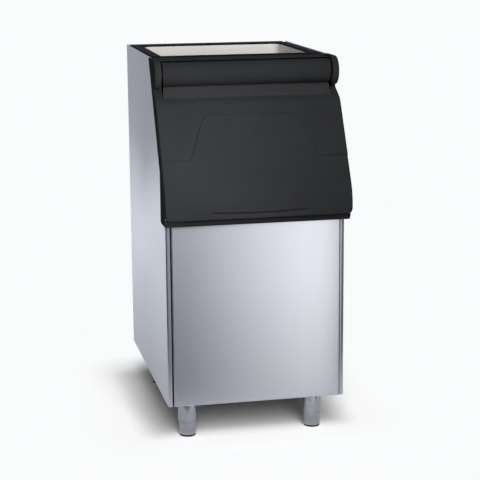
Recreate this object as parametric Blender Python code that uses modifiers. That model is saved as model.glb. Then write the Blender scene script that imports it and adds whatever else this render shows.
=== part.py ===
"""Ice storage bin: an insulated stainless cabinet with an open top for an ice maker,
a black lift-up door hung in two hood ears, a white plastic liner and four adjustable legs.

Metres, +Z up. The front faces -Y. The origin is on the floor under the middle of the bin.
Inside the script every outline is drawn in the cabinet's own frame: Y is measured back from
the cabinet's front and Z up from its underside."""
import math

import bmesh
import bpy
from mathutils import Matrix, Vector

# Cabinet and its insulated walls
cabinet_width = 0.545
cabinet_depth = 0.750
cabinet_height = 1.028
sheet = 0.001
bend_radius = 0.004
return_width = 0.012
panel_proud = 0.010
panel_gap = 0.003
panel_rise = 0.0025
clearance = 0.0003
side_wall = 0.0445
front_wall = 0.045
rear_wall = 0.089
floor_height = 0.075
liner_wall = 0.003

# Top rim, opened for the ice maker
opening_front = 0.262
crossbar_width = 0.012
rim_thickness = 0.0035
tape_thickness = 0.0027
tape_margin = 0.009

# Hood and door, all across the front
hood_overhang = 0.0075
frame_reveal = 0.001
hinge_back = 0.134
ear_radius = 0.0435
ear_width = 0.0188
barrel_radius = 0.039
barrel_play = 0.003
barrel_top = math.radians(82)
barrel_outer_end = math.radians(256)
barrel_inner_end = math.radians(264)
swing_play = 0.002
door_reach = 0.063
door_height = 0.451
door_depth = 0.027
knee_rise = 0.063
knee_radius = 0.150
shoulder_back = 0.0883
shoulder_drop = 0.0737
shoulder_radius = 0.060
door_skin = 0.003
door_edge_radius = 0.004
back_panel_thickness = 0.002
gasket_thickness = 0.005
gasket_width = 0.014

# Fixed frame round the door opening
cheek_lap = 0.061
band_depth = 0.040
sill_rise = 0.038
sill_reveal = 0.018
sill_nose_height = 0.0185
sill_tongue = 0.0054
sill_lip_height = 0.012
sill_lip_thickness = 0.005
cheek_lower_rear = 0.044
cheek_corner_radius = 0.015
ceiling_drop = 0.113
hood_top_drop = 0.0045
hood_lip_back = 0.016
neck_land_start = 0.030
neck_land_end = 0.044

# Hinge
pin_radius = 0.005
pin_engagement = 0.016
ear_skin = 0.0035
bearing_width = 0.016

# Legs
leg_height = 0.125
leg_side_inset = 0.0745
leg_end_inset = 0.100
leg_plate_width = 0.084
leg_plate_thickness = 0.003
leg_tube_radius = 0.029
leg_tube_wall = 0.0015
leg_plug_height = 0.012
leg_bolt_radius = 0.005
foot_radius = 0.026
foot_chamfer = 0.003
foot_stud_radius = 0.007
foot_shown = 0.0437
foot_stud_headroom = 0.0158
pad_thickness = 0.004
pad_inset = 0.0012

# Drain
drain_from_rear = 0.190
drain_bore_radius = 0.011
drain_spigot_radius = 0.0155
drain_spigot_reach = 0.034
drain_flange_radius = 0.029
drain_flange_thickness = 0.003
drain_nut_radius = 0.025
drain_nut_height = 0.008
strainer_thickness = 0.002
strainer_margin = 0.004
strainer_hole_radius = 0.0028
strainer_hole_count = 6

# Back panel screws
screw_head_radius = 0.005
screw_head_height = 0.0022
screw_shank_radius = 0.002
screw_shank_length = 0.0026
screw_crown_share = 0.7
screw_height_shares = (0.12, 0.50, 0.88)

# Places worked out from the sizes above
cut_overrun = 0.010
round_steps = 24
small_steps = 12
arc_step = math.radians(12)
half_cabinet = cabinet_width / 2
half_inside_sheet = half_cabinet - sheet - clearance
half_liner = half_cabinet - side_wall
half_liner_outside = half_liner + liner_wall
half_door = half_cabinet + hood_overhang
half_frame = half_door - frame_reveal
half_ear_inside = half_frame - ear_width
half_barrel = half_ear_inside - barrel_play
hinge_height = cabinet_height - ear_radius
door_bottom = cabinet_height - door_height
knee_height = door_bottom + knee_rise
sill_height = door_bottom + sill_rise
ceiling_height = cabinet_height - ceiling_drop
drain_behind_front = cabinet_depth - drain_from_rear
hinge = Vector((hinge_back, hinge_height))
rim_top = cabinet_height - tape_thickness - clearance
rim_underside = rim_top - rim_thickness
deck = rim_underside - clearance
hood_top = cabinet_height - hood_top_drop
liner_rear = cabinet_depth - rear_wall
back_inside = cabinet_depth - 2 * sheet - 2 * clearance
base_top = 2 * sheet + clearance
seal_depth = door_depth + gasket_thickness + 2 * clearance
sill_bottom = door_bottom - swing_play - sill_nose_height
tongue_low = sill_height - liner_wall - clearance - sill_tongue
panel_top = tongue_low - clearance
origin_shift = (door_reach - cabinet_depth - screw_head_height - clearance) / 2


def clear_scene():
    for old in list(bpy.data.objects):
        bpy.data.objects.remove(old, do_unlink=True)


def new_collection(name):
    collection = bpy.data.collections.new(name)
    bpy.context.scene.collection.children.link(collection)
    return collection


def new_material(name, colour, roughness, metallic):
    material = bpy.data.materials.new(name)
    material.use_nodes = True
    shader = material.node_tree.nodes["Principled BSDF"]
    shader.inputs["Base Color"].default_value = (*colour, 1.0)
    shader.inputs["Roughness"].default_value = roughness
    shader.inputs["Metallic"].default_value = metallic
    return material


clear_scene()
bin_parts = new_collection("ice_storage_bin")
bin_cutters = new_collection("ice_storage_bin_cutters")

brushed_steel = new_material("brushed_steel", (0.60, 0.60, 0.62), 0.32, 1.0)
galvanised = new_material("galvanised_steel", (0.52, 0.54, 0.56), 0.45, 1.0)
polished_steel = new_material("polished_steel", (0.62, 0.62, 0.64), 0.18, 1.0)
black_plastic = new_material("black_plastic", (0.045, 0.046, 0.048), 0.42, 0.0)
white_plastic = new_material("white_plastic", (0.72, 0.70, 0.66), 0.35, 0.0)
foam = new_material("insulation_foam", (0.80, 0.72, 0.48), 0.95, 0.0)
rubber = new_material("rubber", (0.02, 0.02, 0.02), 0.80, 0.0)
nylon = new_material("nylon", (0.70, 0.70, 0.68), 0.40, 0.0)


def add_empty(name, place, parent=None):
    empty = bpy.data.objects.new(name, None)
    bin_parts.objects.link(empty)
    empty.parent = parent
    empty.location = place
    return empty


bin_origin = add_empty("bin_origin", (0, origin_shift, leg_height))
door_axis = add_empty("door_axis", (0, hinge.x, hinge.y), bin_origin)


def finish(name, shape, material, parent=bin_origin, place=(0, 0, 0)):
    """Turn a bmesh into a named, smooth shaded part."""
    mesh = bpy.data.meshes.new(name)
    shape.to_mesh(mesh)
    shape.free()
    mesh.materials.append(material)
    mesh.shade_smooth()
    mesh.set_sharp_from_angle(angle=math.radians(30))
    part = bpy.data.objects.new(name, mesh)
    bin_parts.objects.link(part)
    part.parent = parent
    part.location = place
    return part


def as_cutter(part):
    """Keep a part only as a tool that cuts or joins another."""
    bin_parts.objects.unlink(part)
    bin_cutters.objects.link(part)
    part.hide_render = True
    part.display_type = "WIRE"
    return part


def combine(part, other, operation):
    modifier = part.modifiers.new(operation.lower() + "_" + other.name, "BOOLEAN")
    modifier.operation = operation
    modifier.object = as_cutter(other) if other.name in bin_parts.objects else other


def arc(centre, radius, start, end):
    """Points on an arc, angles in radians from +Y towards +Z."""
    count = max(2, math.ceil(abs(end - start) / arc_step))
    angles = [start + (end - start) * i / count for i in range(count + 1)]
    return [centre + radius * Vector((math.cos(a), math.sin(a))) for a in angles]


def meet(point, direction, other_point, other_direction):
    """Where two lines cross."""
    across = direction.x * other_direction.y - direction.y * other_direction.x
    gap = other_point - point
    along = (gap.x * other_direction.y - gap.y * other_direction.x) / across
    return point + along * direction


def rounded(before, corner, after, radius):
    """The arc that replaces a corner between two straight runs."""
    into = (corner - before).normalized()
    out = (after - corner).normalized()
    turn = math.atan2(into.x * out.y - into.y * out.x, into.dot(out))
    reach = radius * math.tan(abs(turn) / 2)
    side = math.copysign(1, turn)
    start = corner - into * reach
    centre = start + side * radius * Vector((-into.y, into.x))
    first = math.atan2(start.y - centre.y, start.x - centre.x)
    return arc(centre, radius, first, first + turn)


def line_meets_circle(point, direction, centre, radius):
    """The crossing that lies furthest back along the direction."""
    offset = point - centre
    along = offset.dot(direction)
    return point - (along + math.sqrt(along ** 2 - offset.dot(offset) + radius ** 2)) * direction


def prism(outline, low, high):
    """Extrude an outline in the YZ plane from one X to another."""
    shape = bmesh.new()
    face = shape.faces.new([shape.verts.new((low, point.x, point.y)) for point in outline])
    grown = bmesh.ops.extrude_face_region(shape, geom=[face])["geom"]
    moved = [item for item in grown if isinstance(item, bmesh.types.BMVert)]
    bmesh.ops.translate(shape, verts=moved, vec=(high - low, 0, 0))
    bmesh.ops.recalc_face_normals(shape, faces=shape.faces)
    return shape


def box(low, high):
    """A cuboid between two corners."""
    shape = bmesh.new()
    bmesh.ops.create_cube(shape, size=1.0)
    size = [high[i] - low[i] for i in range(3)]
    middle = [(high[i] + low[i]) / 2 for i in range(3)]
    bmesh.ops.scale(shape, vec=size, verts=shape.verts)
    bmesh.ops.translate(shape, vec=middle, verts=shape.verts)
    return shape


def post(radius, start, end, axis, steps=round_steps):
    """A cylinder along X, Y or Z from one corner point to another."""
    start, end = Vector(start), Vector(end)
    shape = bmesh.new()
    bmesh.ops.create_cone(shape, cap_ends=True, segments=steps, radius1=radius, radius2=radius,
                          depth=(end - start).length)
    turn = {"X": Matrix.Rotation(math.pi / 2, 4, "Y"), "Y": Matrix.Rotation(math.pi / 2, 4, "X"),
            "Z": Matrix.Identity(4)}[axis]
    bmesh.ops.transform(shape, matrix=Matrix.Translation((start + end) / 2) @ turn, verts=shape.verts)
    return shape


def turned(name, profile, material, parent, place, steps=round_steps, axis="Z"):
    """Spin a profile of (radius, height) points, outer side running down."""
    shape = bmesh.new()
    points = [shape.verts.new((radius, 0, height)) for radius, height in profile]
    closed = profile[0][0] > 0
    for first, second in zip(points, points[1:]):
        shape.edges.new((first, second))
    if closed:
        shape.edges.new((points[-1], points[0]))
    part = finish(name, shape, material, parent, place)
    screw = part.modifiers.new("spin", "SCREW")
    screw.steps = screw.render_steps = steps
    screw.use_merge_vertices = True
    screw.merge_threshold = 0.00001
    if axis == "X":
        part.rotation_euler = (0, math.pi / 2, 0)
    if axis == "Y":
        part.rotation_euler = (-math.pi / 2, 0, 0)
    return part


def solidify(part, thickness):
    """Give an open surface its wall, on the inner side."""
    wall = part.modifiers.new("wall", "SOLIDIFY")
    wall.thickness = thickness
    wall.offset = -1
    wall.use_even_offset = True


# Lines of the door, from its face backwards
shoulder = Vector((shoulder_back, hinge_height - shoulder_drop))
knee = Vector((-door_reach, knee_height))
slope = (knee - shoulder).normalized()
inward = Vector((-slope.y, slope.x))
to_hinge = hinge - shoulder
neck_tilt = math.asin((ear_radius + clearance) / to_hinge.length)
neck_angle = math.atan2(to_hinge.y, to_hinge.x) - neck_tilt
neck = Vector((math.cos(neck_angle), math.sin(neck_angle)))
neck_down = Vector((neck.y, -neck.x))


def slope_point(depth):
    return shoulder + inward * depth


def slope_at_height(depth, height):
    start = slope_point(depth)
    return start + slope * ((height - start.y) / slope.y)


def slope_at_back(depth, back):
    start = slope_point(depth)
    return start + slope * ((back - start.x) / slope.x)


def behind_face(depth, inset):
    """Top, knee arc and bottom of the line that runs a depth behind the door's face."""
    top = meet(shoulder + neck_down * inset, neck, slope_point(depth), slope)
    corner = slope_at_back(depth, depth - door_reach)
    bottom = Vector((depth - door_reach, door_bottom + inset))
    return [top] + rounded(top, corner, bottom, knee_radius - depth) + [bottom]


def door_section(front, back, inset):
    """The door's closed section between two depths."""
    rear = behind_face(back, inset)
    corner = meet(shoulder + neck_down * inset, neck, slope_point(front), slope)
    low_corner = slope_at_back(front, front - door_reach)
    bottom = Vector((front - door_reach, door_bottom + inset))
    face = rounded(rear[0], corner, low_corner, shoulder_radius - inset)
    face += rounded(corner, low_corner, bottom, knee_radius - front) + [bottom]
    return face + rear[::-1]


def gasket_room(name, half):
    """Cutter for all that lies in front of the door gasket's back."""
    line = behind_face(seal_depth, 0)[1:-1]
    front = -door_reach - cut_overrun
    low = door_bottom
    high = cabinet_height + cut_overrun
    outline = [slope_at_height(seal_depth, high)] + line
    outline += [Vector((line[-1].x, low)), Vector((front, low)), Vector((front, high))]
    return finish(name, prism(outline, -half, half), rubber)


def cabinet_shell():
    """Folded stainless sides and front, zinc back and base."""
    sheet_line = band_depth + clearance
    low_corner = slope_at_back(sheet_line, 0)
    high_corner = slope_at_height(sheet_line, cabinet_height)
    heights = [cabinet_height * share for share in screw_height_shares]
    screw_holes = []
    for side, word in ((-1, "left"), (1, "right")):
        shape = bmesh.new()
        x = side * half_cabinet
        inner = side * (half_cabinet - return_width)
        outline = [(0, 0), (0, low_corner.y), (high_corner.x, cabinet_height),
                   (cabinet_depth, cabinet_height), (cabinet_depth, 0)]
        corners = [shape.verts.new((x, y, z)) for y, z in outline]
        turned_in = [shape.verts.new((inner, y, z)) for y, z in outline]
        shape.faces.new(corners)
        for first, second in ((0, 1), (3, 4), (4, 0)):
            shape.faces.new((corners[first], turned_in[first], turned_in[second], corners[second]))
        shape.verts.remove(turned_in[2])
        bmesh.ops.recalc_face_normals(shape, faces=shape.faces)
        shape.faces.ensure_lookup_table()
        if shape.faces[0].normal.x * side < 0:
            bmesh.ops.reverse_faces(shape, faces=shape.faces)
        front_bend = [edge for edge in shape.edges if set(edge.verts) == set(corners[:2])]
        bmesh.ops.bevel(shape, geom=front_bend, offset=bend_radius, segments=3, profile=0.5,
                        affect="EDGES", material=-1)
        part = finish("side_sheet_" + word, shape, brushed_steel)
        solidify(part, sheet)
        for height in heights:
            place = (side * (half_cabinet - return_width / 2), 0, height)
            start = (place[0], back_inside - cut_overrun, height)
            end = (place[0], cabinet_depth + cut_overrun, height)
            hole = finish("screw_hole", post(screw_shank_radius + clearance, start, end, "Y",
                                             small_steps), galvanised)
            screw_holes.append(hole)
            combine(part, hole, "DIFFERENCE")
    panel_half = half_cabinet - return_width - panel_gap
    pan = box((-panel_half, -panel_proud, panel_rise), (panel_half, sheet, panel_top))
    back = [face for face in pan.faces if face.normal.y > 0.5]
    bmesh.ops.delete(pan, geom=back, context="FACES_ONLY")
    solidify(finish("front_panel", pan, brushed_steel), sheet)
    rear = box((-half_inside_sheet, back_inside, base_top + clearance),
               (half_inside_sheet, back_inside + sheet, deck))
    rear_panel = finish("back_panel", rear, galvanised)
    for hole in screw_holes:
        combine(rear_panel, hole, "DIFFERENCE")
    base = box((-half_inside_sheet, bend_radius + clearance, sheet + clearance),
               (half_inside_sheet, cabinet_depth - sheet - clearance, base_top))
    base_pan = finish("base_pan", base, galvanised)
    bore = finish("base_drain_bore", drain_bore_tool(), galvanised)
    combine(base_pan, bore, "DIFFERENCE")


def drain_bore_tool():
    low = (0, drain_behind_front, -cut_overrun)
    high = (0, drain_behind_front, floor_height + cut_overrun)
    return post(drain_spigot_radius + clearance, low, high, "Z")


def back_screws():
    """Pan head screws that hold the back panel to the side sheets."""
    profile = [(0, screw_head_height), (screw_head_radius * screw_crown_share, screw_head_height),
               (screw_head_radius, screw_head_height / 2), (screw_head_radius, 0),
               (screw_shank_radius, 0), (screw_shank_radius, -screw_shank_length),
               (0, -screw_shank_length)]
    for side, word in ((-1, "left"), (1, "right")):
        for number, share in enumerate(screw_height_shares, 1):
            place = (side * (half_cabinet - return_width / 2), cabinet_depth + clearance,
                     cabinet_height * share)
            turned(f"back_screw_{word}_{number}", profile, galvanised, bin_origin, place,
                   small_steps, "Y")


def liner():
    """White moulded tank, open at the top and along the sloping door opening."""
    top = deck - clearance
    lip_back = seal_depth - door_reach + sill_lip_thickness + clearance
    outside_front = front_wall - liner_wall
    outside_rear = liner_rear + liner_wall
    hood_rear = opening_front - liner_wall
    ceiling = ceiling_height + liner_wall
    outside = [Vector((outside_front, floor_height - liner_wall)),
               Vector((outside_rear, floor_height - liner_wall)), Vector((outside_rear, top)),
               Vector((hood_rear, top)), Vector((hood_rear, ceiling)),
               slope_at_height(seal_depth, ceiling), slope_at_back(seal_depth, lip_back),
               Vector((lip_back, sill_height - liner_wall)),
               Vector((outside_front, sill_height - liner_wall))]
    beyond = seal_depth - cut_overrun
    over_top = top + cut_overrun
    over_lip = lip_back - cut_overrun
    inside = [Vector((front_wall, floor_height)), Vector((liner_rear, floor_height)),
              Vector((liner_rear, over_top)), Vector((opening_front, over_top)),
              Vector((opening_front, ceiling_height)), slope_at_height(beyond, ceiling_height),
              slope_at_back(beyond, over_lip), Vector((over_lip, sill_height)),
              Vector((front_wall, sill_height))]
    tank = finish("liner", prism(outside, -half_liner_outside, half_liner_outside), white_plastic)
    hollow = finish("liner_hollow", prism(inside, -half_liner, half_liner), white_plastic)
    combine(tank, hollow, "DIFFERENCE")
    bore = finish("liner_drain_bore", drain_bore_tool(), white_plastic)
    combine(tank, bore, "DIFFERENCE")
    combine(tank, gasket_room("liner_gasket_room", half_door), "DIFFERENCE")


def insulation():
    """Foam slabs between the liner and the sheets."""
    foam_front = bend_radius + clearance
    inner = half_liner_outside + clearance
    foam_base = base_top + clearance
    foam_line = band_depth + clearance + sheet
    hood_rear = opening_front - liner_wall
    ceiling = ceiling_height + liner_wall - clearance
    low = slope_at_back(foam_line, foam_front)
    high = slope_at_height(foam_line, ceiling)
    rear = back_inside - clearance
    outline = [Vector((foam_front, foam_base)), Vector((foam_front, low.y)), high,
               Vector((hood_rear, ceiling)), Vector((hood_rear, deck - clearance)),
               Vector((rear, deck - clearance)), Vector((rear, foam_base))]
    for side, word in ((-1, "left"), (1, "right")):
        near, far = sorted((side * inner, side * half_inside_sheet))
        finish("foam_" + word, prism(outline, near, far), foam)
    front_face = sheet - panel_proud + clearance
    wall_outside = front_wall - liner_wall - clearance
    rear_outside = liner_rear + liner_wall + clearance
    under_floor = floor_height - liner_wall - clearance
    half = half_liner_outside
    on_hem = panel_rise + sheet + clearance
    under_hem = panel_top - sheet - clearance
    finish("foam_front", box((-half, front_face, on_hem), (half, wall_outside, under_hem)), foam)
    finish("foam_back", box((-half, rear_outside, foam_base),
                            (half, rear, deck - clearance)), foam)
    slab = finish("foam_floor", box((-half, wall_outside + clearance, foam_base),
                                    (half, rear_outside - clearance, under_floor)), foam)
    bore = finish("foam_drain_bore", drain_bore_tool(), foam)
    combine(slab, bore, "DIFFERENCE")


def top_rim():
    """Black frame round the top opening, with the sealing tape the ice maker sits on."""
    front = opening_front - crossbar_width
    rear = back_inside + sheet
    ring = box((-half_inside_sheet, front, rim_underside), (half_inside_sheet, rear, rim_top))
    rim = finish("top_rim", ring, black_plastic)
    hole = finish("rim_opening", box((-half_liner, opening_front, rim_underside - cut_overrun),
                                     (half_liner, liner_rear, rim_top + cut_overrun)), black_plastic)
    combine(rim, hole, "DIFFERENCE")
    half_out = half_inside_sheet - tape_margin
    half_in = half_liner + tape_margin
    tape_low = rim_top + clearance
    tape = finish("rim_tape", box((-half_out, front, tape_low),
                                  (half_out, rear - tape_margin, cabinet_height)), rubber)
    inside = finish("tape_opening", box((-half_in, opening_front, tape_low - cut_overrun),
                                        (half_in, liner_rear + tape_margin,
                                         cabinet_height + cut_overrun)), rubber)
    combine(tape, inside, "DIFFERENCE")


def frame_front(depth):
    """Front edge of the fixed frame, from its nose up to the ear."""
    nose_back = sill_reveal - door_reach
    step = sill_bottom + sill_nose_height
    start = Vector((depth - door_reach, step))
    corner = slope_at_back(depth, depth - door_reach)
    up = -slope
    touch = line_meets_circle(slope_point(depth), up, hinge, ear_radius)
    edge = [Vector((nose_back, sill_bottom)), Vector((nose_back, step)), start]
    edge += rounded(start, corner, touch, knee_radius - depth)
    first = math.atan2(touch.y - hinge.y, touch.x - hinge.x) % (2 * math.pi)
    return edge + arc(hinge, ear_radius, first, math.pi / 2)


def cheeks():
    """End mouldings of the frame: an ear, a flange over the sheet and a band in front of it."""
    front = frame_front(door_depth + clearance)
    flange_top = slope_at_height(cheek_lap, cabinet_height)
    flange_low = slope_at_back(cheek_lap, cheek_lower_rear)
    bottom = Vector((cheek_lower_rear, sill_bottom))
    corner = rounded(flange_low, bottom, front[0], cheek_corner_radius)
    outline = front + [flange_top, flange_low] + corner
    band_rear = band_depth - clearance
    far_back = cheek_lap + cabinet_depth
    over_panel = -panel_proud - clearance
    behind = [slope_at_height(band_rear, cabinet_height + cut_overrun),
              slope_at_back(band_rear, -clearance), Vector((-clearance, tongue_low)),
              Vector((over_panel, tongue_low)), Vector((over_panel, sill_bottom - cut_overrun)),
              Vector((far_back, sill_bottom - cut_overrun)),
              Vector((far_back, cabinet_height + cut_overrun))]
    band_top = ceiling_height + liner_wall
    inner = half_liner_outside + clearance
    for side, word in ((-1, "left"), (1, "right")):
        low, high = sorted((side * inner, side * half_frame))
        cheek = finish("cheek_" + word, prism(outline, low, high), black_plastic)
        near = side * (inner - cut_overrun)
        low, high = sorted((near, side * (half_cabinet + clearance)))
        room = finish("sheet_room_" + word, prism(behind, low, high), black_plastic)
        combine(cheek, room, "DIFFERENCE")
        low, high = sorted((near, side * half_ear_inside))
        notch = finish("barrel_room_" + word,
                       box((low, -door_reach - cut_overrun, band_top),
                           (high, far_back, cabinet_height + cut_overrun)), black_plastic)
        combine(cheek, notch, "DIFFERENCE")
        start = (side * (half_ear_inside - cut_overrun), hinge.x, hinge.y)
        end = (side * (half_frame - ear_skin), hinge.x, hinge.y)
        bore = finish("ear_bore_" + word, post(pin_radius + clearance, start, end, "X"), black_plastic)
        combine(cheek, bore, "DIFFERENCE")


def sill_bar():
    """Rail under the door, hooked over the front panel."""
    nose_back = sill_reveal - door_reach
    over_panel = -panel_proud - clearance
    step = sill_bottom + sill_nose_height
    lip_front = seal_depth - door_reach
    lip_back = lip_front + sill_lip_thickness
    lip_top = sill_height + sill_lip_height
    tongue_rear = front_wall - liner_wall - clearance
    tongue_top = tongue_low + sill_tongue
    outline = [(nose_back, sill_bottom), (nose_back, step), (lip_front, step), (lip_front, lip_top),
               (lip_back, lip_top), (lip_back, tongue_top), (tongue_rear, tongue_top),
               (tongue_rear, tongue_low), (over_panel, tongue_low), (over_panel, sill_bottom)]
    shape = prism([Vector(point) for point in outline], -half_liner_outside, half_liner_outside)
    sill = finish("sill_bar", shape, black_plastic)
    combine(sill, gasket_room("sill_gasket_room", half_door), "DIFFERENCE")


def hood_bar():
    """Fixed bar behind the door's hinge barrel, hollowed round the barrel's swing."""
    swing = barrel_radius + swing_play
    lip = hinge_back + hood_lip_back
    lip_angle = math.acos(hood_lip_back / swing)
    rear = opening_front - liner_wall - clearance
    low = ceiling_height + liner_wall + clearance
    step_back = opening_front - crossbar_width - clearance
    touch = line_meets_circle(slope_point(seal_depth), -slope, hinge, swing)
    first = math.atan2(touch.y - hinge.y, touch.x - hinge.x)
    outline = [Vector((lip, hood_top)), Vector((step_back, hood_top)),
               Vector((step_back, deck - clearance)), Vector((rear, deck - clearance)),
               Vector((rear, low)), slope_at_height(seal_depth, low)]
    outline += arc(hinge, swing, first, lip_angle)
    bar = finish("hood_bar", prism(outline, -half_inside_sheet, half_inside_sheet), black_plastic)
    high = cabinet_height + cut_overrun
    under = low - cut_overrun
    ear_room = [slope_at_height(band_depth, high), slope_at_height(band_depth, under),
                Vector((-door_reach, under)), Vector((-door_reach, high))]
    for side, word in ((-1, "left"), (1, "right")):
        near, far = sorted((side * (half_ear_inside - clearance), side * half_door))
        combine(bar, finish("ear_room_" + word, prism(ear_room, near, far), black_plastic),
                "DIFFERENCE")


def hinge_pins():
    """Steel pins held in the ears; the door's bearings turn on them."""
    for side, word in ((-1, "left"), (1, "right")):
        outer = side * (half_frame - ear_skin - clearance)
        inner = side * (half_barrel - pin_engagement)
        shape = post(pin_radius, (inner, hinge.x, hinge.y), (outer, hinge.x, hinge.y), "X")
        finish("hinge_pin_" + word, shape, polished_steel)


def about_hinge(shape):
    """Move a door piece into the frame of its hinge axis."""
    bmesh.ops.translate(shape, vec=(0, -hinge.x, -hinge.y), verts=shape.verts)
    return shape


def door():
    """Lift-up door: outer shell, hinge barrel, foam core, back panel and gasket."""
    shell = prism(door_section(0, door_depth, 0), -half_door, half_door)
    rims = [edge for edge in shell.edges
            if len(edge.link_faces) == 2
            and any(abs(face.normal.x) > 0.5 for face in edge.link_faces)
            and all(face.normal.y < 0.5 for face in edge.link_faces)]
    bmesh.ops.bevel(shell, geom=rims, offset=door_edge_radius, segments=2, profile=0.5,
                    affect="EDGES", material=-1)
    outer = finish("door_outer_shell", about_hinge(shell), black_plastic, door_axis)
    half_hollow = half_door - door_skin
    inside = door_section(door_skin, door_depth + cut_overrun, door_skin)
    hollow = about_hinge(prism(inside, -half_hollow, half_hollow))
    combine(outer, finish("door_hollow", hollow, black_plastic, door_axis), "DIFFERENCE")

    inset = door_skin + clearance
    half_inside = half_door - inset
    panel_front = door_depth - back_panel_thickness
    core = prism(door_section(inset, panel_front - clearance, inset), -half_inside, half_inside)
    finish("door_core", about_hinge(core), foam, door_axis)
    panel = behind_face(panel_front, inset) + behind_face(door_depth, inset)[::-1]
    finish("door_back_panel", about_hinge(prism(panel, -half_inside, half_inside)),
           white_plastic, door_axis)

    near = door_depth + clearance
    far = near + gasket_thickness
    seal = behind_face(near, inset) + behind_face(far, inset)[::-1]
    half_seal = half_liner_outside - clearance
    gasket = finish("door_gasket", about_hinge(prism(seal, -half_seal, half_seal)), rubber, door_axis)
    half_hole = half_seal - gasket_width / 2
    hole_low = sill_height + sill_lip_height - swing_play
    hole_high = ceiling_height - swing_play
    hole = box((-half_hole, -door_reach - cut_overrun, hole_low),
               (half_hole, opening_front, hole_high))
    combine(gasket, finish("gasket_hole", about_hinge(hole), rubber, door_axis), "DIFFERENCE")
    skirt = box((-half_door, -door_reach - cut_overrun, door_bottom - cut_overrun),
                (half_door, opening_front, sill_height))
    combine(gasket, finish("gasket_skirt", about_hinge(skirt), rubber, door_axis), "DIFFERENCE")


def hinge_barrel():
    """Half round barrel along the door's top, with a bearing block in each end."""
    inner_radius = barrel_radius - door_skin
    lift = -neck_down * clearance
    land = [shoulder + neck * neck_land_start + lift, shoulder + neck * neck_land_end + lift]
    outline = arc(hinge, barrel_radius, barrel_top, barrel_outer_end) + land
    outline += arc(hinge, inner_radius, barrel_inner_end, barrel_top)
    shape = about_hinge(prism(outline, -half_barrel, half_barrel))
    finish("door_hinge_barrel", shape, black_plastic, door_axis)
    outer = inner_radius - clearance
    inner = pin_radius + clearance
    half = bearing_width / 2
    profile = [(inner, half), (outer, half), (outer, -half), (inner, -half)]
    for side, word in ((-1, "left"), (1, "right")):
        place = (side * (half_barrel - clearance - half), 0, 0)
        turned("door_bearing_" + word, profile, nylon, door_axis, place, round_steps, "X")


def drain():
    """Drain outlet through the floor, its nut under the base and its strainer."""
    flange_low = floor_height + clearance
    flange_top = flange_low + drain_flange_thickness
    outlet = -drain_spigot_reach
    profile = [(drain_bore_radius, flange_top), (drain_flange_radius, flange_top),
               (drain_flange_radius, flange_low), (drain_spigot_radius, flange_low),
               (drain_spigot_radius, outlet), (drain_bore_radius, outlet)]
    place = (0, drain_behind_front, 0)
    turned("drain_outlet", profile, white_plastic, bin_origin, place)
    nut_top = sheet
    nut_low = nut_top - drain_nut_height
    nut = post(drain_nut_radius, (0, drain_behind_front, nut_low),
               (0, drain_behind_front, nut_top), "Z", 6)
    combine(finish("drain_nut", nut, nylon),
            finish("nut_bore", drain_bore_tool(), nylon), "DIFFERENCE")
    low = flange_top + clearance
    radius = drain_flange_radius - strainer_margin
    disc = post(radius, (0, drain_behind_front, low), (0, drain_behind_front, low + strainer_thickness),
                "Z")
    strainer = finish("drain_strainer", disc, polished_steel)
    ring = drain_bore_radius / 2 + strainer_hole_radius
    for number in range(strainer_hole_count):
        angle = 2 * math.pi * number / strainer_hole_count
        x = ring * math.cos(angle)
        y = drain_behind_front + ring * math.sin(angle)
        hole = post(strainer_hole_radius, (x, y, low - cut_overrun),
                    (x, y, low + strainer_thickness + cut_overrun), "Z", small_steps)
        combine(strainer, finish(f"strainer_hole_{number}", hole, polished_steel), "DIFFERENCE")


def legs():
    """Four legs: a plate under the base, a tube, and a foot on a screw with a rubber pad."""
    plate_top = sheet
    tube_top = plate_top - leg_plate_thickness - clearance
    tube_bottom = foot_shown - leg_height
    inside = leg_tube_radius - leg_tube_wall
    stud_bore = foot_stud_radius + clearance
    plug_top = tube_bottom + leg_plug_height
    tube = [(leg_bolt_radius, tube_top), (leg_tube_radius, tube_top),
            (leg_tube_radius, tube_bottom), (stud_bore, tube_bottom), (stud_bore, plug_top),
            (inside, plug_top), (inside, tube_top - leg_tube_wall),
            (leg_bolt_radius, tube_top - leg_tube_wall)]
    foot_top = tube_bottom - clearance
    pad_top = pad_thickness - leg_height
    foot_low = pad_top + clearance
    stud_top = tube_top - leg_tube_wall - foot_stud_headroom
    foot = [(0, stud_top), (foot_stud_radius, stud_top), (foot_stud_radius, foot_top),
            (foot_radius, foot_top), (foot_radius, foot_low + foot_chamfer),
            (foot_radius - foot_chamfer, foot_low), (0, foot_low)]
    pad_radius = foot_radius - pad_inset
    pad = [(0, pad_top), (pad_radius, pad_top), (pad_radius, -leg_height), (0, -leg_height)]
    half_plate = leg_plate_width / 2
    for end, y in (("front", leg_end_inset), ("rear", cabinet_depth - leg_end_inset)):
        for side, word in ((-1, "left"), (1, "right")):
            x = side * (half_cabinet - leg_side_inset)
            label = f"{end}_{word}"
            place = (x, y, 0)
            plate = box((x - half_plate, y - half_plate, plate_top - leg_plate_thickness),
                        (x + half_plate, y + half_plate, plate_top))
            finish("leg_plate_" + label, plate, galvanised)
            turned("leg_tube_" + label, tube, polished_steel, bin_origin, place)
            foot_axis = add_empty("foot_axis_" + label, place, bin_origin)
            turned("foot_" + label, foot, polished_steel, foot_axis, (0, 0, 0))
            turned("foot_pad_" + label, pad, rubber, foot_axis, (0, 0, 0))


cabinet_shell()
back_screws()
liner()
insulation()
top_rim()
cheeks()
sill_bar()
hood_bar()
hinge_pins()
door()
hinge_barrel()
drain()
legs()
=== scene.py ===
"""Looks of the ice storage bin: the studio, then the pieces in the order they are put together."""
import math

import bmesh
import bpy
from mathutils import Matrix, Vector


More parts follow.
